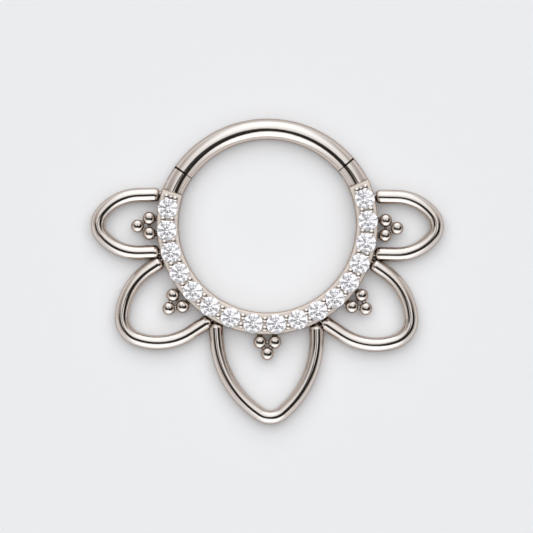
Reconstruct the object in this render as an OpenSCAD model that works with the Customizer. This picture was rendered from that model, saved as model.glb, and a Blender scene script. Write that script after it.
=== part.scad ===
// Hinged clicker ring for a body piercing. A round wire arc closes a band set with a row of
// brilliants. Five wire petals and five clusters of three balls are soldered round the band.
// It lies on its back: +Z is the front with the stones, +Y the top where the arc opens.
// The origin is on the ring's axis, level with the back of the band.

/* [Wire ring] */
// Diameter of the round wire of the arc and its two stubs
wire_d = 1.2; // [1.1:0.05:1.3]
// Height of the wire's middle above the back of the band
wire_z = 0.62; // [0.61:0.01:0.65]
// Inside diameter of the arc's circle
arc_inner_d = 10.58; // [10.4:0.02:10.7]
// How far the centre of the arc's circle lies below the ring's axis
arc_drop = 0.47; // [0.4:0.01:0.5]
// Half the angle that the opening arc spans
arc_half = 52.3; // [50:0.1:54]
// How far the band and the arc are turned on the petals' axis
ring_turn = 2.7; // [0:0.1:5]

/* [Band] */
// Inside diameter of the stone-set band
band_inner_d = 10.14; // [10.1:0.02:10.2]
// Width of the band from inside to outside
band_w = 1.24; // [1.2:0.01:1.3]
// Depth of the band from its back to its deck
band_h = 1.3; // [1.26:0.02:1.4]
// Rounding of the band's long edges
band_edge = 0.1; // [0.05:0.01:0.15]
// Length of the bevel across the deck at each end of the band
band_bevel = 0.08; // [0.04:0.01:0.1]
// Half the angle that the band spans
band_half = 111.3; // [111:0.1:112]

/* [Stones] */
// Number of brilliants in the row
stone_count = 17; // [15:1:17]
// Angle between neighbouring stones
stone_pitch = 12.7; // [12.6:0.05:12.8]
// How far the stones just past the middle of the row stray along it, in degrees
row_drift = 2.5; // [0:0.1:2.5]
// Diameter of the circle through the stones' middles
stone_circle_d = 11.47; // [11.44:0.01:11.5]
// Girdle diameter of a stone
stone_d = 1.13; // [1.05:0.01:1.14]
// Height of a stone's girdle above the deck
stone_lift = 0.12; // [0.1:0.01:0.16]
// Gap all round a stone in its seat
seat_gap = 0.02; // [0.02:0.005:0.03]

/* [Prongs] */
// Diameter of a shared prong
prong_d = 0.3; // [0.24:0.01:0.32]
// Diameter of the small prong in the middle at each end of the row
end_prong_d = 0.2; // [0.14:0.01:0.2]
// Height of a prong's top above the stones' girdles
prong_top = 0.23; // [0.2:0.01:0.25]
// Radius of the dome on top of a prong
dome_r = 0.25; // [0.22:0.01:0.3]
// Distance between the two prongs of a pair
prong_span = 0.52; // [0.48:0.01:0.56]

/* [Petals] */
// Diameter of the petals' round wire
petal_wire_d = 0.81; // [0.76:0.01:0.86]
// How far the middle of an arm's neck is let into the band
petal_bite = 0.06; // [0.04:0.01:0.1]
// Length of the neck of solder at an arm's end, with the bite
petal_neck = 0.15; // [0.12:0.01:0.2]

/* [Ball clusters] */
// Diameter of a ball
ball_d = 0.74; // [0.68:0.01:0.78]
// Radius on which the two inner balls of a cluster sit
ball_inner_r = 6.75; // [6.72:0.01:6.8]
// Radius on which the outer ball sits
ball_outer_r = 7.42; // [7.38:0.01:7.46]
// Half the distance between the two inner balls
ball_side = 0.43; // [0.42:0.01:0.46]
// Diameter of the solder between an inner and the outer ball
solder_d = 0.26; // [0.2:0.01:0.3]
// Diameter of the solder between the two inner balls
inner_solder_d = 0.16; // [0.14:0.01:0.2]
// Diameter of the solder between a ball and the band
foot_d = 0.3; // [0.2:0.01:0.34]

/* [Hinge and catch] */
// Gap between the closed arc and its stubs
joint_gap = 0.05; // [0.04:0.01:0.06]
// Thickness of the tongues
tongue_t = 0.4; // [0.36:0.01:0.42]
// Gap between a tongue and each cheek of its slot
slot_gap = 0.03; // [0.02:0.005:0.05]
// Diameter of the hinge pin
pin_d = 0.3; // [0.28:0.01:0.32]
// Running gap round the pin in the tongue
pin_gap = 0.03; // [0.02:0.005:0.04]
// How far the pin lies outward of the wire's middle
pin_out = 0.26; // [0.24:0.01:0.27]
// How far the pin lies behind the joint
hinge_set = 0.6; // [0.55:0.01:0.62]
// Radius of the tongue's nose round the pin
nose_r = 0.35; // [0.34:0.01:0.36]
// Length of the catch's tongue
catch_len = 0.45; // [0.35:0.01:0.6]

/* [Hidden] */
STONE_NAMES = [for (i = [1 : stone_count]) str("stone_", i < 10 ? "0" : "", i)];

METAL = [0.80, 0.77, 0.73];
STONE = [0.90, 0.91, 0.96];
FINE = 96;
SMALL = 32;
CUT = 1;

arc_r = arc_inner_d / 2 + wire_d / 2;
band_r = band_inner_d / 2 + band_w / 2;
band_outer_r = band_inner_d / 2 + band_w;
stone_r = stone_d / 2;
first_stone = -90 - stone_pitch * (stone_count - 1) / 2;
DRIFT_MIDDLE = 8.6; // stone at which the row strays most
DRIFT_SPREAD = 3.2; // number of stones over which that fades
solder_bite = 0.12; // how deep solder and prongs run into the band
stub_sweep = 13.6; // angle that a stub spans, from the joint to inside the band's end
relief_gap = 0.01; // gap round the corners that swing
bore_gap = 0.01; // gap round the pin in the cheeks
CORNER_SHARE = 0.3; // share of a cut edge that its middle point stands in

// The slope of a 3-4-5 triangle: the bevels' own, and where a petal's side meets its tip
JOIN_COS = 0.8;
JOIN_SIN = 0.6;
JOIN_ANGLE = asin(JOIN_SIN);

// Petals, one to a row
PETAL_ANGLE = 0; // direction of its axis
PETAL_SHIFT = 1; // how far the axis passes to the left of the origin
PETAL_TIP_R = 2; // radius of the tip's arc
PETAL_STEP = 3;  // distance between the centres of the side's and the tip's arc
PETAL_REACH = 4; // distance from the origin to the tip
PETALS = [
    [181.7, -0.22, 0.97, 1.68, 9.68],
    [213.1, 0.65, 1.31, 2.13, 10.09],
    [273.4, -0.42, 1.04, 4.56, 11.04],
    [326.2, -0.70, 1.31, 2.13, 10.09],
    [359.0, 0.03, 0.97, 1.68, 9.68]
];

// Rounded end of an arm with its neck of solder, as radius and distance from the end
NECK_R = 0.2;
ARM_END = [
    [0, 0], [NECK_R, 0], [NECK_R, petal_neck], [0.31, petal_neck + 0.04],
    [0.375, petal_neck + 0.13], [petal_wire_d / 2, petal_neck + 0.26]
];

// Directions of the five ball clusters
CLUSTERS = [180.9, 220.6, 270, 319.3, 358.1];

// Proportions of a round brilliant, as shares of its girdle radius
table_share = 0.56;
crown_share = 0.30;
pavilion_share = 0.86;
girdle_share = 0.05;
star_share = 0.52;
lower_share = 0.24;

table_r = stone_r * table_share;
crown_h = stone_r * crown_share;
pavilion_h = stone_r * pavilion_share;
girdle_h = stone_r * girdle_share;
girdle_z = band_h + stone_lift;

// A point at radius r, angle a and height z
function polar(r, a, z) = [r * cos(a), r * sin(a), z];

// A closed section with cut corners, w wide, h high and centred on x = 0, standing on y = 0
function eased_box(w, h, e) = let (c = e * CORNER_SHARE) [
    [-w / 2 + e, 0], [w / 2 - e, 0], [w / 2 - c, c], [w / 2, e],
    [w / 2, h - e], [w / 2 - c, h - c], [w / 2 - e, h], [-w / 2 + e, h],
    [-w / 2 + c, h - c], [-w / 2, h - e], [-w / 2, e], [-w / 2 + c, c]
];

// Carries its children round with the ring, which is turned a little on the petals
module turned() {
    rotate([0, 0, ring_turn]) children();
}

// Wire of the arc's circle between two directions from its centre
module ring_wire(from, to) {
    translate([0, -arc_drop, wire_z])
        rotate_extrude(start = from, angle = to - from, $fn = FINE)
            translate([arc_r, 0]) circle(d = wire_d, $fn = SMALL);
}

// Frame at a joint: +X outward, +Y into the stub. The hinge is at side 1, the catch at side -1.
module at_joint(side) {
    translate([0, -arc_drop, wire_z])
        rotate([0, 0, 90 + side * arc_half])
            translate([arc_r, 0, 0])
                mirror([0, side < 0 ? 1 : 0, 0])
                    children();
}

// Band

// The stone-set band, bevelled across the deck at both ends
module band() {
    difference() {
        rotate_extrude(start = -90 - band_half, angle = 2 * band_half, $fn = FINE)
            translate([band_r, 0]) polygon(eased_box(band_w, band_h, band_edge));
        for (side = [-1, 1])
            rotate([0, 0, -90 + side * band_half])
                translate([band_r, -side * band_bevel, band_h])
                    rotate([-side * JOIN_ANGLE, 0, 0])
                        translate([-CUT, side < 0 ? -CUT : 0, 0]) cube([2 * CUT, CUT, CUT]);
    }
}

// A wire stub from the joint into the end of the band
module stub(side) {
    joint = 90 + side * arc_half;
    if (side > 0) ring_wire(joint, joint + stub_sweep);
    else ring_wire(joint - stub_sweep, joint);
}

// Direction of stone number i, counted from 0, in the hand-set row
function stone_angle(i) =
    first_stone + i * stone_pitch + row_drift * exp(-pow((i - DRIFT_MIDDLE) / DRIFT_SPREAD, 2));

// Carries its children to stone number i, at the level of its girdle
module at_stone(i) {
    rotate([0, 0, stone_angle(i)])
        translate([stone_circle_d / 2, 0, girdle_z])
            children();
}

// Room for one stone with the gap round it, up through the prongs
module seat() {
    reach = stone_r + seat_gap;
    rotate_extrude($fn = FINE)
        polygon([
            [0, -girdle_h / 2 - pavilion_h - 2 * seat_gap],
            [reach, -girdle_h / 2],
            [reach, girdle_h / 2],
            [table_r + seat_gap, girdle_h / 2 + crown_h + seat_gap],
            [0, girdle_h / 2 + crown_h + seat_gap]
        ]);
}

// A round prong with a domed top, standing on the deck
module prong(d) {
    top = stone_lift + prong_top;
    intersection() {
        translate([0, 0, -solder_bite]) cylinder(d = d, h = solder_bite + top, $fn = SMALL);
        translate([0, 0, top - dome_r]) sphere(r = dome_r, $fn = SMALL);
    }
}

// The shared prongs in the gap before stone number i: a pair, and a small one between them at both
// ends of the row
module prongs(i) {
    half_gap = (stone_angle(i) - stone_angle(i - 1)) / 2;
    chord_r = stone_circle_d / 2 * cos(half_gap);
    rotate([0, 0, stone_angle(i) - half_gap])
        translate([chord_r, 0, band_h]) {
            for (side = [-1, 1]) translate([side * prong_span / 2, 0, 0]) prong(prong_d);
            if (i == 0 || i == stone_count) prong(end_prong_d);
        }
}

// Petals

// Where an arm that passes the origin at this distance starts, to the nearest 0.01
function arm_foot(off) = round(100 * (sqrt(pow(band_outer_r, 2) - pow(off, 2)) - petal_bite)) / 100;

// Half a petal along +X, from the foot of its arm to the middle of its tip
module petal_half(foot, tip_r, step, reach) {
    side_r = tip_r + step;
    side_x = reach - tip_r - JOIN_COS * step;
    arm_y = side_r - JOIN_SIN * step;
    translate([foot, arm_y, 0]) rotate([0, 90, 0]) petal_arm(side_x - foot);
    translate([side_x, -JOIN_SIN * step, 0])
        rotate_extrude(start = JOIN_ANGLE, angle = 90 - JOIN_ANGLE, $fn = FINE)
            translate([side_r, 0]) circle(d = petal_wire_d, $fn = SMALL);
    translate([reach - tip_r, 0, 0])
        rotate_extrude(start = 0, angle = JOIN_ANGLE, $fn = FINE)
            translate([tip_r, 0]) circle(d = petal_wire_d, $fn = SMALL);
}

// Straight arm along +Z with a rounded end at its foot
module petal_arm(length) {
    rotate_extrude($fn = SMALL)
        polygon(concat(ARM_END, [[petal_wire_d / 2, length], [0, length]]));
}

// A whole petal, its arms let a little way into the band
module petal(row) {
    tip_r = row[PETAL_TIP_R];
    step = row[PETAL_STEP];
    arm_y = tip_r + step - JOIN_SIN * step;
    rotate([0, 0, row[PETAL_ANGLE]])
        translate([0, row[PETAL_SHIFT], wire_z])
            for (side = [0, 1])
                mirror([0, side, 0])
                    petal_half(
                        arm_foot(row[PETAL_SHIFT] + (1 - 2 * side) * arm_y),
                        tip_r, step, row[PETAL_REACH]
                    );
}

// Ball clusters

// A round neck of solder between two points in the plane of the balls
module solder(from, to, d) {
    run = to - from;
    translate(from)
        rotate([0, 0, atan2(run[1], run[0])])
            rotate([0, 90, 0])
                cylinder(d = d, h = norm(run), $fn = SMALL);
}

module cluster(angle) {
    left = [ball_inner_r, ball_side, 0];
    right = [ball_inner_r, -ball_side, 0];
    outer = [ball_outer_r, 0, 0];
    bite = [band_outer_r - solder_bite, 0, 0];
    rotate([0, 0, angle])
        translate([0, 0, wire_z]) {
            for (middle = [left, right, outer]) translate(middle) sphere(d = ball_d, $fn = SMALL);
            solder(left, outer, solder_d);
            solder(right, outer, solder_d);
            solder(left, right, inner_solder_d);
            solder(bite + [0, ball_side, 0], left, foot_d);
            solder(bite - [0, ball_side, 0], right, foot_d);
        }
}

// Hinge and catch

// Slot between the two cheeks of a stub
module slot(depth) {
    t = tongue_t + 2 * slot_gap;
    translate([-CUT, -CUT, -t / 2]) cube([2 * CUT, CUT + depth, t]);
}

// Room at the cheeks' outer corner, for the arc's shoulder to swing through
module cheek_relief() {
    difference() {
        translate([pin_out, -CUT, -CUT]) cube([CUT, CUT + hinge_set, 2 * CUT]);
        translate([pin_out, hinge_set, -2 * CUT])
            cylinder(r = hinge_set + relief_gap, h = 4 * CUT, $fn = FINE);
    }
}

// Pin hole through the back cheek, blind in the front one
module fork_bore() {
    bore_top = 0.38;
    translate([pin_out, hinge_set, -CUT]) cylinder(d = pin_d + 2 * bore_gap, h = CUT + bore_top, $fn = SMALL);
}

// Everything of the arc's wire beside a tongue of the given length
module shoulders(length) {
    for (side = [0, 1])
        mirror([0, 0, side])
            translate([-CUT, -joint_gap, tongue_t / 2]) cube([2 * CUT, length + CUT, CUT]);
}

// What is taken off the hinge tongue: its end, its outer corner and its pin hole
module nose_cut() {
    end = hinge_set + nose_r;
    translate([-CUT, end, -CUT]) cube([2 * CUT, CUT, 2 * CUT]);
    difference() {
        translate([pin_out, hinge_set, -CUT]) cube([CUT, CUT, 2 * CUT]);
        translate([pin_out, hinge_set, -2 * CUT]) cylinder(r = nose_r + relief_gap, h = 4 * CUT, $fn = FINE);
    }
    translate([pin_out, hinge_set, -CUT]) cylinder(d = pin_d + 2 * pin_gap, h = 2 * CUT, $fn = SMALL);
}

// Whole pieces

module setting_ring() {
    color(METAL) {
        difference() {
            union() {
                turned() {
                    band();
                    stub(1);
                    stub(-1);
                    for (i = [0 : stone_count]) prongs(i);
                }
                for (row = PETALS) petal(row);
                for (angle = CLUSTERS) cluster(angle);
            }
            turned() {
                for (i = [0 : stone_count - 1]) at_stone(i) seat();
                at_joint(1) slot(hinge_set + nose_r + joint_gap);
                at_joint(1) cheek_relief();
                at_joint(1) fork_bore();
                at_joint(-1) slot(catch_len + joint_gap);
            }
        }
    }
}

module hinged_arc() {
    nose_sweep = 10;
    catch_sweep = asin(catch_len / arc_r);
    color(METAL)
        turned()
            difference() {
                ring_wire(90 - arc_half - catch_sweep, 90 + arc_half + nose_sweep);
                at_joint(1) shoulders(hinge_set + nose_r);
                at_joint(1) nose_cut();
                at_joint(-1) shoulders(catch_len);
            }
}

module hinge_pin() {
    pin_back = -0.44;
    pin_front = 0.36;
    color(METAL)
        turned()
            at_joint(1)
                translate([pin_out, hinge_set, pin_back])
                    cylinder(d = pin_d, h = pin_front - pin_back, $fn = SMALL);
}

// Round brilliant with its girdle on z = 0: table, 8 stars, 8 kites, 16 upper and 16 lower girdle
// facets, a thin girdle and 8 pavilion mains
module brilliant() {
    top = girdle_h / 2 + crown_h;
    bottom = -girdle_h / 2 - pavilion_h;
    star_x = table_r + star_share * (stone_r - table_r);
    star_z = girdle_h / 2 + crown_h * (1 - star_share);
    lower_x = lower_share * stone_r;
    lower_z = -girdle_h / 2 - pavilion_h * (1 - lower_share);
    half_step = 22.5;
    T = 0;
    M = 8;
    G = 16;
    H = 32;
    N = 48;
    C = 56;
    points = concat(
        [for (k = [0 : 7]) polar(table_r, 45 * k, top)],
        [for (k = [0 : 7]) polar(star_x / cos(half_step), 45 * k + half_step, star_z)],
        [for (j = [0 : 15]) polar(stone_r, half_step * j, girdle_h / 2)],
        [for (j = [0 : 15]) polar(stone_r, half_step * j, -girdle_h / 2)],
        [for (k = [0 : 7]) polar(lower_x / cos(half_step), 45 * k + half_step, lower_z)],
        [[0, 0, bottom]]
    );
    faces = concat(
        [[for (k = [0 : 7]) T + 7 - k]],
        [for (k = [0 : 7]) [T + k, T + (k + 1) % 8, M + k]],
        [for (k = [0 : 7]) [T + k, M + k, G + 2 * k, M + (k + 7) % 8]],
        [for (k = [0 : 7]) [M + k, G + 2 * k + 1, G + 2 * k]],
        [for (k = [0 : 7]) [M + k, G + (2 * k + 2) % 16, G + 2 * k + 1]],
        [for (j = [0 : 15]) [G + j, G + (j + 1) % 16, H + (j + 1) % 16, H + j]],
        [for (k = [0 : 7]) [N + k, H + 2 * k, H + 2 * k + 1]],
        [for (k = [0 : 7]) [N + k, H + 2 * k + 1, H + (2 * k + 2) % 16]],
        [for (k = [0 : 7]) [C, N + (k + 7) % 8, H + 2 * k, N + k]]
    );
    polyhedron(points, faces);
}

module stone(i) {
    color(STONE) turned() at_stone(i) brilliant();
}

setting_ring();
hinged_arc();
hinge_pin();
for (i = [0 : stone_count - 1]) stone(i);
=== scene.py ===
import math
from collections import namedtuple

import bmesh
import bpy
from bpy.props import FloatProperty, FloatVectorProperty, PointerProperty
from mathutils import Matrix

bl_info = {
    "name": "Clicker Ring Finish",
    "version": (1, 0, 0),
    "blender": (4, 5, 0),
    "location": "View3D > Sidebar > Ring",
    "description": "Polished metal, clear brilliants and a pale studio for a hinged clicker ring",
    "category": "Object",
}

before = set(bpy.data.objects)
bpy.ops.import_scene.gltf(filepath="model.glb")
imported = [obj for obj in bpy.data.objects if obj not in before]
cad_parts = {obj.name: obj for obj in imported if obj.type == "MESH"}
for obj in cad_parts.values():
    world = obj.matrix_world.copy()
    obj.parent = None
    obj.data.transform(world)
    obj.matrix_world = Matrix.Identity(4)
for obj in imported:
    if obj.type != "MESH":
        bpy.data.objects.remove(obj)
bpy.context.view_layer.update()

METAL_NODES = ("setting_ring", "hinged_arc", "hinge_pin")
STONE_NODES = sorted(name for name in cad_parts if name.startswith("stone_"))

# A millimetre in metres
MM = 0.001

# Sizes of the ring in millimetres and degrees, as it is built

# Heights above the back: the middle of the wires and balls, and the band's deck
WIRE_Z = 0.62
DECK_Z = 1.3
# Rounding of the band's long edges
DECK_EDGE = 0.1
# Half the angle that the band spans, and the turn of the band and the arc on the petals' axis
BAND_HALF = 111.3
RING_TURN = 2.7
# The arc: the radius of its wire's middle, how far its centre lies below the ring's axis, and the angle from
# its top to a joint
ARC_RADIUS = 5.89
ARC_DROP = 0.47
JOINT_ANGLE = 52.06
# Radius of a ball, the way outward to the balls, and the way aside to the two inner ones
BALL_RADIUS = 0.37
INNER_BALL_OUT = 6.75
OUTER_BALL_OUT = 7.42
INNER_BALL_ASIDE = 0.43
# Directions of the clusters, from straight down
CLUSTERS = (-89.1, -49.4, 0.0, 49.3, 88.1)
# Radius of the solder between a ball and the band
NECK_RADIUS = 0.15


# Shader maths


class Value:
    """A socket that carries a number. Python's operators on it add Math nodes."""

    def __init__(self, graph, socket):
        self.graph, self.socket = graph, socket

    def __add__(self, other):
        return self.graph.math("ADD", self, other)

    def __radd__(self, other):
        return self.graph.math("ADD", other, self)

    def __sub__(self, other):
        return self.graph.math("SUBTRACT", self, other)

    def __rsub__(self, other):
        return self.graph.math("SUBTRACT", other, self)

    def __mul__(self, other):
        return self.graph.math("MULTIPLY", self, other)

    def __rmul__(self, other):
        return self.graph.math("MULTIPLY", other, self)

    def __truediv__(self, other):
        return self.graph.math("DIVIDE", self, other)

    def __rtruediv__(self, other):
        return self.graph.math("DIVIDE", other, self)

    def __pow__(self, other):
        return self.graph.math("POWER", self, other)

    def __rpow__(self, other):
        return self.graph.math("POWER", other, self)

    def __abs__(self):
        return self.graph.math("ABSOLUTE", self)


# A smooth step: where it begins and ends, and the numbers before and after it
Step = namedtuple("Step", "begin end before after", defaults=(0.0, 1.0))


class Graph:
    """The emptied node tree of a material or world."""

    # The Mix node's colour sockets by number, because its other kinds share their names
    FIRST_COLOUR, SECOND_COLOUR, MIXED_COLOUR = 6, 7, 2

    def __init__(self, owner):
        owner.use_nodes = True
        self.tree = owner.node_tree
        self.tree.nodes.clear()

    def add(self, kind, settings=None, inputs=None):
        """A new node of this type. Its settings are made first, then its sockets' values or links."""
        node = self.tree.nodes.new(kind)
        for name, setting in (settings or {}).items():
            setattr(node, name, setting)
        for name, value in (inputs or {}).items():
            if isinstance(value, Value):
                value = value.socket
            if isinstance(value, bpy.types.NodeSocket):
                self.tree.links.new(value, node.inputs[name])
            else:
                node.inputs[name].default_value = value
        return node

    def math(self, operation, *inputs):
        node = self.add("ShaderNodeMath", {"operation": operation}, dict(enumerate(inputs)))
        return Value(self, node.outputs[0])

    def smooth(self, value, step):
        """The number that this smooth step gives at a value."""
        node = self.add(
            "ShaderNodeMapRange",
            {"interpolation_type": "SMOOTHSTEP"},
            {
                "Value": value,
                "From Min": step.begin,
                "From Max": step.end,
                "To Min": step.before,
                "To Max": step.after,
            },
        )
        return Value(self, node.outputs["Result"])

    def stairs(self, value, steps):
        """The sum of several smooth steps of one value."""
        return sum(self.smooth(value, step) for step in steps)

    def mix(self, factor, first, second):
        """A colour between two colours."""
        node = self.add(
            "ShaderNodeMix",
            {"data_type": "RGBA"},
            {"Factor": factor, self.FIRST_COLOUR: first, self.SECOND_COLOUR: second},
        )
        return node.outputs[self.MIXED_COLOUR]

    def noise(self, vector, scale, detail=3.0):
        """A number from 0 to 1 that changes softly from place to place."""
        node = self.add(
            "ShaderNodeTexNoise", None, {"Vector": vector, "Scale": scale, "Detail": detail}
        )
        return Value(self, node.outputs[0])

    def squeezed(self, vector, scale, turn):
        """Coordinates that are squeezed along each axis, and then turned."""
        node = self.add("ShaderNodeMapping", None, {"Vector": vector, "Scale": scale, "Rotation": turn})
        return node.outputs["Vector"]

    def object_place(self):
        return self.add("ShaderNodeTexCoord").outputs["Object"]

    def parts(self, vector):
        """The three numbers of a vector."""
        node = self.add("ShaderNodeSeparateXYZ", None, {"Vector": vector})
        return [Value(self, node.outputs[axis]) for axis in "XYZ"]

    def surface(self, sockets):
        """Ends a material's tree with a surface that has these values or links in its sockets."""
        shader = self.add("ShaderNodeBsdfPrincipled", None, sockets)
        self.add("ShaderNodeOutputMaterial", None, {"Surface": shader.outputs["BSDF"]})


def opaque(colour, share=1.0):
    """This share of a colour, with full alpha."""
    return (*(share * channel for channel in colour), 1.0)


# Settings

# What all colours, shares and lengths in the sidebar have in common
COLOUR = {"subtype": "COLOR", "size": 3, "min": 0.0, "max": 1.0}
SHARE = {"subtype": "FACTOR", "min": 0.0, "max": 1.0}
LENGTH = {"subtype": "DISTANCE", "unit": "LENGTH", "min": 0.0, "precision": 6}


class MetalSettings(bpy.types.PropertyGroup):
    """Colours and polish of the metal"""

    tint: FloatVectorProperty(
        name="Tint",
        description="Colour that the polished metal gives to what it reflects",
        default=(0.76, 0.70, 0.655),
        **COLOUR,
    )
    edge_tint: FloatVectorProperty(
        name="Edge tint",
        description="Share of light that the metal gives back where it turns away from the eye",
        default=(0.44, 0.36, 0.31),
        **COLOUR,
    )
    # Painted shade: the brown that the flanks of the wires and balls are darkened towards
    painted_flank_shade: FloatVectorProperty(
        name="Flank tint",
        description="Brown that the flanks of the wires and balls lean to",
        default=(0.45, 0.30, 0.19),
        **COLOUR,
    )
    deck_tint: FloatVectorProperty(
        name="Deck tint",
        description="Colour of the satin deck between the stones",
        default=(0.78, 0.715, 0.66),
        **COLOUR,
    )
    # Painted shade: the colour that the band's rounded long edges are darkened to
    painted_rim_shade: FloatVectorProperty(
        name="Rim tint",
        description="Colour of the band's long edges where they round over",
        default=(0.45, 0.36, 0.30),
        **COLOUR,
    )
    # Painted light: the colour that the deck is brightened to deep between the prongs
    painted_pit_light: FloatVectorProperty(
        name="Pit tint",
        description="Colour of the bright-cut metal deep between the prongs",
        default=(1.0, 0.88, 0.78),
        **COLOUR,
    )
    # Painted shade: the colour that corners, gaps and solder necks are darkened to, within the reach below
    crevice_shade: FloatVectorProperty(
        name="Crevice",
        description="Colour of the metal deep in its corners and gaps",
        default=(0.07, 0.045, 0.032),
        **COLOUR,
    )
    crevice_reach: FloatProperty(
        name="Crevice reach",
        description="How near other metal has to be for a place to count as a crevice",
        default=0.0002,
        **LENGTH,
    )
    roughness: FloatProperty(
        name="Roughness",
        description="Blur of the polish between its scratches",
        default=0.06,
        **SHARE,
    )
    deck_roughness: FloatProperty(
        name="Deck roughness",
        description="Blur of the band's deck between the stones",
        default=0.38,
        **SHARE,
    )
    scratch_depth: FloatProperty(
        name="Scratch depth",
        description="Depth of the finest polishing marks",
        default=0.000000024,
        **LENGTH,
    )
    ball_flat: FloatProperty(
        name="Ball flatness",
        description="How much flatter than a sphere the front of a small ball is polished",
        default=0.45,
        **SHARE,
    )


class StoneSettings(bpy.types.PropertyGroup):
    """Colour, painted glow and refraction of the stones"""

    tint: FloatVectorProperty(
        name="Tint",
        description="Colour of the light that has passed through a stone",
        default=(0.93, 0.92, 1.0),
        **COLOUR,
    )
    # Painted glow: the stones give off a little light of their own colour
    painted_glow: FloatProperty(
        name="Sparkle",
        description="Brightness of the many small flashes inside a stone",
        default=0.075,
        min=0.0,
    )
    refraction: FloatProperty(
        name="Refraction",
        description="Index of refraction of the cut stones",
        default=2.15,
        min=1.0,
        max=3.0,
    )


class StudioSettings(bpy.types.PropertyGroup):
    """Floor, lights and camera"""

    floor_colour: FloatVectorProperty(
        name="Floor colour",
        description="Colour of the pale floor",
        default=(0.83, 0.84, 0.86),
        **COLOUR,
    )
    lens: FloatProperty(
        name="Lens",
        description="Focal length of the camera",
        default=295.5,
        min=1.0,
        unit="CAMERA",
    )
    height: FloatProperty(
        name="Camera height",
        description="Height of the camera above the middle of the wire",
        default=0.25,
        **LENGTH,
    )
    dome_strength: FloatProperty(
        name="Dome strength",
        description="Brightness of the dome that the metal and the stones mirror",
        default=1.17,
        min=0.0,
    )
    key_strength: FloatProperty(
        name="Key strength",
        description="Strength of the soft light that leans to the ring's top",
        default=1.72,
        min=0.0,
    )
    fill_strength: FloatProperty(
        name="Fill strength",
        description="Strength of the broad light from all round",
        default=1.66,
        min=0.0,
    )


class RingSettings(bpy.types.PropertyGroup):
    """All settings of the ring"""

    metal: PointerProperty(type=MetalSettings, name="Metal")
    stones: PointerProperty(type=StoneSettings, name="Stones")
    studio: PointerProperty(type=StudioSettings, name="Studio")


# Places on the ring. Each share is 1 on what it names and 0 off it, and a spot is x, y and z in millimetres.

# Steps in height at the foot of the deck's rounded edges and at the foot of the prongs
EDGE_FOOT = Step(DECK_Z - DECK_EDGE - 0.02, DECK_Z - DECK_EDGE)
PRONG_FOOT = Step(DECK_Z + 0.002, DECK_Z + 0.01, 1.0, 0.0)
# Blur at the band's two ends, as a change of the angle's cosine
BAND_END_BLUR = 0.004
# The joint's line, by how far off the joint the angle's cosine is, and its outer half
JOINT_LINE = Step(0.005, 0.009, 1.0, 0.0)
JOINT_OUTER_HALF = Step(ARC_RADIUS - 0.19, ARC_RADIUS + 0.01)
# The solder's neck, by the distance from a ball's middle, from the ring's axis and from the ball's height
NECK_START = Step(BALL_RADIUS, BALL_RADIUS + 0.04)
NECK_END = Step(BALL_RADIUS + 0.13, BALL_RADIUS + 0.23, 1.0, 0.0)
NECK_INWARD = Step(INNER_BALL_OUT - 0.15, INNER_BALL_OUT + 0.05, 1.0, 0.0)
NECK_HEIGHT = Step(NECK_RADIUS + 0.01, NECK_RADIUS + 0.07, 1.0, 0.0)


def plan_length(graph, x, y):
    """Length of a way across x and y."""
    return graph.math("SQRT", x * x + y * y)


def deck_share(graph, spot):
    """The deck of the band with its long edges, but not its prongs."""
    x, y, z = spot
    turn = math.radians(RING_TURN)
    downward = x * math.sin(turn) - y * math.cos(turn)
    cosine = downward / plan_length(graph, x, y)
    end_cosine = math.cos(math.radians(BAND_HALF))
    on_band = graph.smooth(cosine, Step(end_cosine - BAND_END_BLUR, end_cosine))
    return on_band * graph.smooth(z, EDGE_FOOT) * graph.smooth(z, PRONG_FOOT)


def joint_share(graph, spot):
    """The outer half of the lines where the closed arc meets its stubs."""
    x, y, _ = spot
    turn = math.radians(RING_TURN)
    across = x * math.cos(turn) + y * math.sin(turn)
    up = y * math.cos(turn) - x * math.sin(turn) + ARC_DROP
    reach = plan_length(graph, across, up)
    off_joint = abs(up / reach - math.cos(math.radians(JOINT_ANGLE)))
    return graph.smooth(off_joint, JOINT_LINE) * graph.smooth(reach, JOINT_OUTER_HALF)


def ball_distance(graph, spot, drop=0.0):
    """Distance in plan to the nearest ball's middle, or to a place that lies lower by the drop."""
    x, y, _ = spot
    y = y + drop
    way = graph.math("ARCTAN2", x, -1.0 * y)
    nearest = math.radians(CLUSTERS[0])
    for last, this in zip(CLUSTERS, CLUSTERS[1:]):
        past = graph.math("GREATER_THAN", way, math.radians((last + this) / 2))
        nearest = nearest + past * math.radians(this - last)
    reach = plan_length(graph, x, y)
    outward = reach * graph.math("COSINE", way - nearest)
    aside = abs(reach * graph.math("SINE", way - nearest))
    to_inner = (outward - INNER_BALL_OUT) ** 2.0 + (aside - INNER_BALL_ASIDE) ** 2.0
    to_outer = (outward - OUTER_BALL_OUT) ** 2.0 + aside ** 2.0
    return graph.math("SQRT", graph.math("MINIMUM", to_inner, to_outer))


def neck_share(graph, spot, from_ball):
    """The necks of solder between the inner balls and the band."""
    x, y, z = spot
    beside = graph.smooth(from_ball, NECK_START) * graph.smooth(from_ball, NECK_END)
    inward = graph.smooth(plan_length(graph, x, y), NECK_INWARD)
    return beside * inward * graph.smooth(abs(z - WIRE_Z), NECK_HEIGHT)


# Finishes

# Polishing marks that run two ways: waves to a metre, squeeze and turn of the axes, and where a mark shows
Marks = namedtuple("Marks", "scale squeeze turn shows")
MARKS = (
    Marks(2600.0, (1.0, 9.0, 9.0), (0.3, 0.2, 0.7), Step(0.62, 0.74)),
    Marks(2100.0, (8.0, 1.0, 8.0), (0.1, 0.5, -0.4), Step(0.64, 0.76)),
)
# Soft clouds in the polish: waves to a metre, and where the metal looks handled
CLOUD_SCALE = 420.0
HANDLED = Step(0.35, 0.75)
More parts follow.
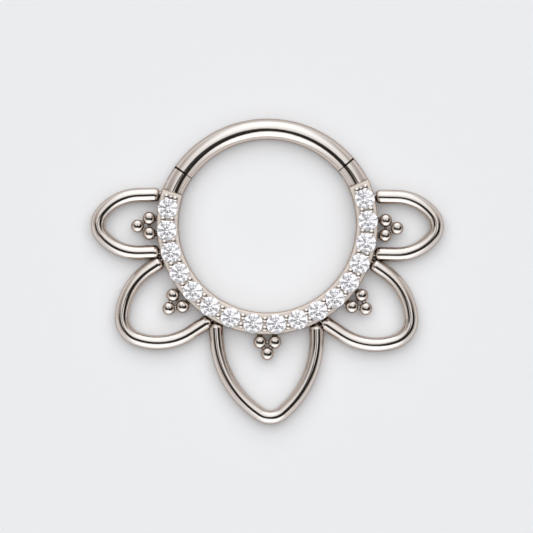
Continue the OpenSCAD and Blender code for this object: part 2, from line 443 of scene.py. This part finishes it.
# Share of its tint that handled metal keeps
POLISH_KEEPS = 0.96
DECK_KEEPS = 0.95
# Blur that marks and clouds add, and how far the deck leaves the mirror polish for a matt look
MARK_BLUR = 0.05
CLOUD_BLUR = 0.05
DECK_CLOUD_BLUR = 0.12
DECK_MATT = 0.65
# Shares of the clouds and of each run of marks in the depth of the relief
CLOUD_DEPTH = 0.4
MARK_DEPTH = 0.3
# How far below a ball's middle its flatter front is centred, in millimetres
FLAT_DROP = 0.06
# Rays that look for metal near by, to tell how open a place is
NEAR_RAYS = 16
# Openness over which the painted light in the pits between the prongs gives way to satin, and height over
# which the painted shade on a rim does
PIT_LIGHT_TO_DECK = Step(0.25, 0.8)
RIM_SHADE_TO_DECK = Step(DECK_Z - 0.034, DECK_Z - 0.001)
# Painted shade in corners: the openness at which it is darkest, by how much less on the deck and more by
# the balls, and the openness at which it ends
CORNER_SHADE_DARKEST = 0.35
DECK_SPARED = 0.7
BALL_DEEPENED = 0.27
CORNER_SHADE_CLEAR = 0.92
# Share of a ball's look, by the distance from its middle, and the strength of the painted shade on the
# solder necks
AT_BALL = Step(BALL_RADIUS, BALL_RADIUS + 0.1, 1.0, 0.0)
NECK_SHADE = 0.9
# Painted shade on the flanks, by how much they face up: its share of the flank shade colour, and what a
# ball's flank has more
FLANK = Step(0.45, 0.78, 1.0, 0.0)
FLANK_SHADE_SHARE = 0.22
BALL_FLANK_SHADE_MORE = 0.28
# Haze in the stones: waves to a metre, detail, and the blur it adds
HAZE_SCALE = 1500.0
HAZE_DETAIL = 2.0
HAZE_BLUR = 0.01
WHITE = (1.0, 1.0, 1.0)


def give(names, material):
    """Puts one material on every slot of these nodes."""
    for name in names:
        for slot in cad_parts[name].material_slots:
            slot.material = material


def metal_colour(graph, settings, spot, cloud, deck):
    """Polish and satin deck, dark joints; painted shade on flanks, rims, corners, necks; painted light in
    pits.
    """
    # The painted shade and painted light below are placed by how near other metal is
    occlusion = graph.add(
        "ShaderNodeAmbientOcclusion", {"samples": NEAR_RAYS}, {"Distance": settings.crevice_reach}
    )
    openness = Value(graph, occlusion.outputs["AO"])
    _, _, z = spot
    handled = graph.smooth(cloud, HANDLED)
    polish = graph.mix(handled, opaque(settings.tint), opaque(settings.tint, POLISH_KEEPS))
    satin = graph.mix(handled, opaque(settings.deck_tint), opaque(settings.deck_tint, DECK_KEEPS))
    # Painted light: the deck brightens towards the pit light colour where other metal is near
    satin = graph.mix(graph.smooth(openness, PIT_LIGHT_TO_DECK), opaque(settings.painted_pit_light), satin)
    # Painted shade: the deck's rounded long edges darken towards the rim shade colour
    satin = graph.mix(graph.smooth(z, RIM_SHADE_TO_DECK), opaque(settings.painted_rim_shade), satin)

    from_ball = ball_distance(graph, spot)
    at_ball = graph.smooth(from_ball, AT_BALL)
    # Painted shade: the flanks, and the balls' flanks most, darken towards the flank shade colour
    _, _, facing_up = graph.parts(graph.add("ShaderNodeTexCoord").outputs["Normal"])
    flank = graph.smooth(facing_up, FLANK) * (FLANK_SHADE_SHARE + BALL_FLANK_SHADE_MORE * at_ball)
    colour_before_crevice_shade = graph.mix(flank, graph.mix(deck, polish, satin), opaque(settings.painted_flank_shade))

    # Painted shade: corners near other metal and the solder necks darken towards the crevice shade colour;
    # the joint lines take the same dark colour
    darkest = CORNER_SHADE_DARKEST - DECK_SPARED * deck + BALL_DEEPENED * at_ball
    open_share = graph.smooth(openness, Step(darkest, CORNER_SHADE_CLEAR))
    open_share = open_share * (1.0 - joint_share(graph, spot))
    open_share = open_share * (1.0 - NECK_SHADE * neck_share(graph, spot, from_ball))
    return graph.mix(open_share, opaque(settings.crevice_shade), colour_before_crevice_shade)


def metal_roughness(graph, settings, marks, cloud, deck):
    """Blur of the polish, with its marks, and of the satin deck."""
    scratches = sum(graph.smooth(mark, run.shows) for mark, run in zip(marks, MARKS))
    polish = settings.roughness + CLOUD_BLUR * cloud + MARK_BLUR * scratches
    satin = settings.deck_roughness + DECK_CLOUD_BLUR * cloud
    return polish + deck * (satin - polish)


def metal_relief(graph, settings, spot, marks, cloud):
    """Normal of the metal, with the flatter front of the balls and the polishing marks."""
    off_middle = graph.math("MINIMUM", ball_distance(graph, spot, FLAT_DROP), BALL_RADIUS)
    ball_curve = 1.0 / (2.0 * BALL_RADIUS)
    flatter = off_middle ** 2.0 * (settings.ball_flat * ball_curve)
    scratches = (CLOUD_DEPTH * cloud + MARK_DEPTH * sum(marks)) * (settings.scratch_depth / MM)
    bump = graph.add(
        "ShaderNodeBump", None, {"Strength": 1.0, "Distance": MM, "Height": flatter + scratches}
    )
    return bump.outputs["Normal"]


def polished_metal(settings):
    """Warm polished metal with faint polishing marks, satin on the band's deck, and painted shade and light.
    """
    material = bpy.data.materials.new("polished_metal")
    graph = Graph(material)
    place = graph.object_place()
    spot = [part / MM for part in graph.parts(place)]
    cloud = graph.noise(place, CLOUD_SCALE)
    marks = [graph.noise(graph.squeezed(place, run.squeeze, run.turn), run.scale) for run in MARKS]
    deck = deck_share(graph, spot)
    graph.surface(
        {
            "Base Color": metal_colour(graph, settings, spot, cloud, deck),
            "Metallic": 1.0 - DECK_MATT * deck,
            "Roughness": metal_roughness(graph, settings, marks, cloud, deck),
            "Specular Tint": opaque(settings.edge_tint),
            "Normal": metal_relief(graph, settings, spot, marks, cloud),
        }
    )
    return material


def cut_stone(settings):
    """Clear colourless stone with a trace of lavender, a faint haze and a faint painted glow."""
    material = bpy.data.materials.new("cut_stone")
    graph = Graph(material)
    haze = graph.noise(graph.object_place(), HAZE_SCALE, HAZE_DETAIL)
    colour = graph.mix(haze, opaque(settings.tint), opaque(WHITE))
    graph.surface(
        {
            "Base Color": colour,
            "Roughness": HAZE_BLUR * haze,
            "IOR": settings.refraction,
            "Transmission Weight": 1.0,
            # Painted glow: the stone gives off a little light in its colour
            "Emission Color": colour,
            "Emission Strength": settings.painted_glow,
        }
    )
    return material


# Studio

# The dome that the metal and the stones mirror. Directions are in degrees from straight up, across to +X and
# along to +Y. Lights are shares of the dome's strength.

# The bright strip over the middle, by how far aside a direction is
MIDDLE_STRIP = Step(14.0, 54.0, 1.0, 0.0)
# Light of the strip and of the sides in the half towards the ring's top, in the half towards its foot, and
# the change from the foot's half to the top's
TOP_LIGHT = Step(8.0, 46.0, 0.85, 1.25)
TOP_SIDE_LIGHT = 0.42
FOOT_LIGHT = Step(-46.0, -26.0, 1.35, 0.85)
FOOT_SIDE_LIGHT = 0.62
FOOT_TO_TOP = Step(-14.0, 6.0)
# Light that the sides gain towards the horizon, by the angle from straight up
HORIZON_LIGHT = Step(58.0, 88.0, 0.0, 0.14)
# The long dark card: the steps of its two long edges across the dome, its ends, its blur and its darkness
CARD_TOP = (
    Step(-26.0, -12.0, 9.0, 0.0),
    Step(-9.0, -1.5, -5.0, 9.0),
    Step(-0.5, 3.5, 0.0, -10.0),
    Step(3.0, 12.0, 0.0, -4.5),
    Step(18.0, 32.0, 0.0, 13.0),
)
CARD_FOOT = (
    Step(-42.0, -20.0, 17.0, 0.0),
    Step(-12.0, -4.0, -4.0, 0.0),
    Step(0.0, 9.0, -24.5, -32.5),
    Step(28.0, 56.0, 0.0, 20.0),
)
CARD_LEFT_END = Step(-50.0, -38.0)
CARD_RIGHT_END = Step(46.0, 60.0, 1.0, 0.0)
CARD_BLUR = 2.0
CARD_DARKNESS = 0.97
# The soft cards at the sides: where each is and how it fades across, and where both are and fade along
SideCard = namedtuple("SideCard", "across fade")
SIDE_CARDS = (SideCard(46.0, Step(12.0, 22.0, 0.7, 0.0)), SideCard(-42.0, Step(8.0, 18.0, 0.4, 0.0)))
SIDE_CARDS_ALONG = -3.0
SIDE_CARDS_FADE = Step(16.0, 30.0, 1.0, 0.0)
# Colours of the dark and the bright parts, and the light over which one turns into the other
DARK_COLOUR = (1.0, 0.92, 0.86)
BRIGHT_COLOUR = (0.97, 1.0, 1.03)
DARK_TO_BRIGHT = Step(0.1, 1.2)
# Smallest sine that a direction's degrees are worked out with
LEAST_SINE = 0.001

# Spread of the two lamps, and how far the key leans towards the ring's top, in degrees
KEY_SPREAD = 80.0
KEY_LEAN = 30.0
FILL_SPREAD = 120.0

# The floor: its radius in metres and its sides, the waves of its grain to a metre and the share of colour
# that the grain keeps, and its blur and gloss
FLOOR_RADIUS = 3.0
FLOOR_SIDES = 64
GRAIN_SCALE = 900.0
GRAIN_KEEPS = 0.985
FLOOR_ROUGHNESS = 0.9
FLOOR_GLOSS = 0.1

# The camera: the place of the ring in the middle of the picture and the sensor's width, in millimetres, and
# the nearest and farthest that it sees, in metres
VIEW_MIDDLE = (-0.046, -2.43)
SENSOR_WIDTH = 36.0
NEAREST, FARTHEST = 0.005, 10.0


def dome_light(world, strength):
    """What the metal and the stones mirror. The dome is bright over the middle and dim at the sides, with a
    long dark card across it and a soft one at either side. It doesn't light the floor."""
    graph = Graph(world)
    x, y, z = graph.parts(graph.add("ShaderNodeTexCoord").outputs["Generated"])
    tilt = graph.math("DEGREES", graph.math("ARCCOSINE", z))
    spread = tilt / graph.math("MAXIMUM", graph.math("SQRT", 1.0 - z * z), LEAST_SINE)
    across, along = x * spread, y * spread

    middle = graph.smooth(abs(across), MIDDLE_STRIP)
    sides = 1.0 - middle
    top = graph.smooth(along, TOP_LIGHT) * middle + TOP_SIDE_LIGHT * sides
    foot = graph.smooth(along, FOOT_LIGHT) * middle + FOOT_SIDE_LIGHT * sides
    above = graph.smooth(along, FOOT_TO_TOP)
    white = top * above + foot * (1.0 - above) + graph.smooth(tilt, HORIZON_LIGHT) * sides

    below_top = graph.smooth(along - graph.stairs(across, CARD_TOP), Step(-CARD_BLUR, CARD_BLUR, 1.0, 0.0))
    above_foot = graph.smooth(along - graph.stairs(across, CARD_FOOT), Step(-CARD_BLUR, CARD_BLUR))
    ends = graph.smooth(across, CARD_LEFT_END) * graph.smooth(across, CARD_RIGHT_END)
    side_cards = sum(graph.smooth(abs(across - card.across), card.fade) for card in SIDE_CARDS)
    side_cards = side_cards * graph.smooth(abs(along - SIDE_CARDS_ALONG), SIDE_CARDS_FADE)
    light = white * (1.0 - CARD_DARKNESS * below_top * above_foot * ends) * (1.0 - side_cards)

    colour = graph.mix(graph.smooth(light, DARK_TO_BRIGHT), opaque(DARK_COLOUR), opaque(BRIGHT_COLOUR))
    shader = graph.add("ShaderNodeBackground", None, {"Color": colour, "Strength": light * strength})
    graph.add("ShaderNodeOutputWorld", None, {"Surface": shader.outputs["Background"]})
    world.cycles_visibility.diffuse = False


def put_up(name, data):
    """A new object that stands in the scene."""
    thing = bpy.data.objects.new(name, data)
    bpy.context.scene.collection.objects.link(thing)
    return thing


def soft_light(name, strength, spread, lean=0.0):
    """A soft light from above that can lean towards the ring's top. Nothing mirrors it."""
    lamp = bpy.data.lights.new(name, "SUN")
    lamp.energy = strength
    lamp.angle = math.radians(spread)
    light = put_up(name, lamp)
    light.rotation_euler = (-math.radians(lean), 0.0, 0.0)
    light.visible_glossy = light.visible_transmission = False


def pale_paper(colour):
    """Matt pale paper with a fine grain."""
    material = bpy.data.materials.new("pale_paper")
    graph = Graph(material)
    grain = graph.noise(graph.object_place(), GRAIN_SCALE)
    graph.surface(
        {
            "Base Color": graph.mix(grain, opaque(colour), opaque(colour, GRAIN_KEEPS)),
            "Roughness": FLOOR_ROUGHNESS,
            "Specular IOR Level": FLOOR_GLOSS,
        }
    )
    return material


def pale_floor(colour):
    """A round floor, level with the back of the band."""
    mesh = bpy.data.meshes.new("floor")
    shape = bmesh.new()
    bmesh.ops.create_circle(shape, cap_ends=True, segments=FLOOR_SIDES, radius=FLOOR_RADIUS)
    shape.to_mesh(mesh)
    shape.free()
    mesh.materials.append(pale_paper(colour))
    floor = put_up("floor", mesh)


def overhead_camera(settings):
    """A camera straight above the ring, as the ring was photographed."""
    data = bpy.data.cameras.new("overhead")
    data.lens = settings.lens
    data.sensor_width = SENSOR_WIDTH
    data.clip_start, data.clip_end = NEAREST, FARTHEST
    camera = put_up("overhead", data)
    camera.location = (VIEW_MIDDLE[0] * MM, VIEW_MIDDLE[1] * MM, WIRE_Z * MM + settings.height)
    bpy.context.scene.camera = camera


# Operators and panel


class RING_OT_metal(bpy.types.Operator):
    """Polish the setting, the hinged arc and the pin"""

    bl_idname = "ring.metal"
    bl_label = "Polish the Metal"

    def execute(self, context):
        give(METAL_NODES, polished_metal(context.scene.ring.metal))
        return {"FINISHED"}


class RING_OT_stones(bpy.types.Operator):
    """Make the row of brilliants clear"""

    bl_idname = "ring.stones"
    bl_label = "Clear the Stones"

    def execute(self, context):
        give(STONE_NODES, cut_stone(context.scene.ring.stones))
        return {"FINISHED"}


class RING_OT_studio(bpy.types.Operator):
    """Lay the floor and set up the lights and the camera"""

    bl_idname = "ring.studio"
    bl_label = "Set Up the Studio"

    def execute(self, context):
        settings = context.scene.ring.studio
        context.scene.view_settings.view_transform = "Standard"
        context.scene.world = context.scene.world or bpy.data.worlds.new("studio")
        dome_light(context.scene.world, settings.dome_strength)
        pale_floor(settings.floor_colour)
        soft_light("soft_key", settings.key_strength, KEY_SPREAD, KEY_LEAN)
        soft_light("soft_fill", settings.fill_strength, FILL_SPREAD)
        overhead_camera(settings)
        return {"FINISHED"}


class RING_PT_panel(bpy.types.Panel):
    """The ring's finishes and studio with their settings"""

    bl_idname = "RING_PT_panel"
    bl_label = "Clicker Ring"
    bl_space_type = "VIEW_3D"
    bl_region_type = "UI"
    bl_category = "Ring"

    def draw(self, context):
        settings = context.scene.ring
        for operator, group in (
            ("ring.metal", settings.metal),
            ("ring.stones", settings.stones),
            ("ring.studio", settings.studio),
        ):
            column = self.layout.column(align=True)
            for name in type(group).__annotations__:
                column.prop(group, name)
            column.operator(operator)


CLASSES = (
    MetalSettings,
    StoneSettings,
    StudioSettings,
    RingSettings,
    RING_OT_metal,
    RING_OT_stones,
    RING_OT_studio,
    RING_PT_panel,
)


def register():
    for cls in CLASSES:
        bpy.utils.register_class(cls)
    bpy.types.Scene.ring = PointerProperty(type=RingSettings)


def unregister():
    del bpy.types.Scene.ring
    for cls in reversed(CLASSES):
        bpy.utils.unregister_class(cls)


def main():
    register()
    bpy.ops.ring.metal()
    bpy.ops.ring.stones()
    bpy.ops.ring.studio()


if __name__ == "__main__":
    main()
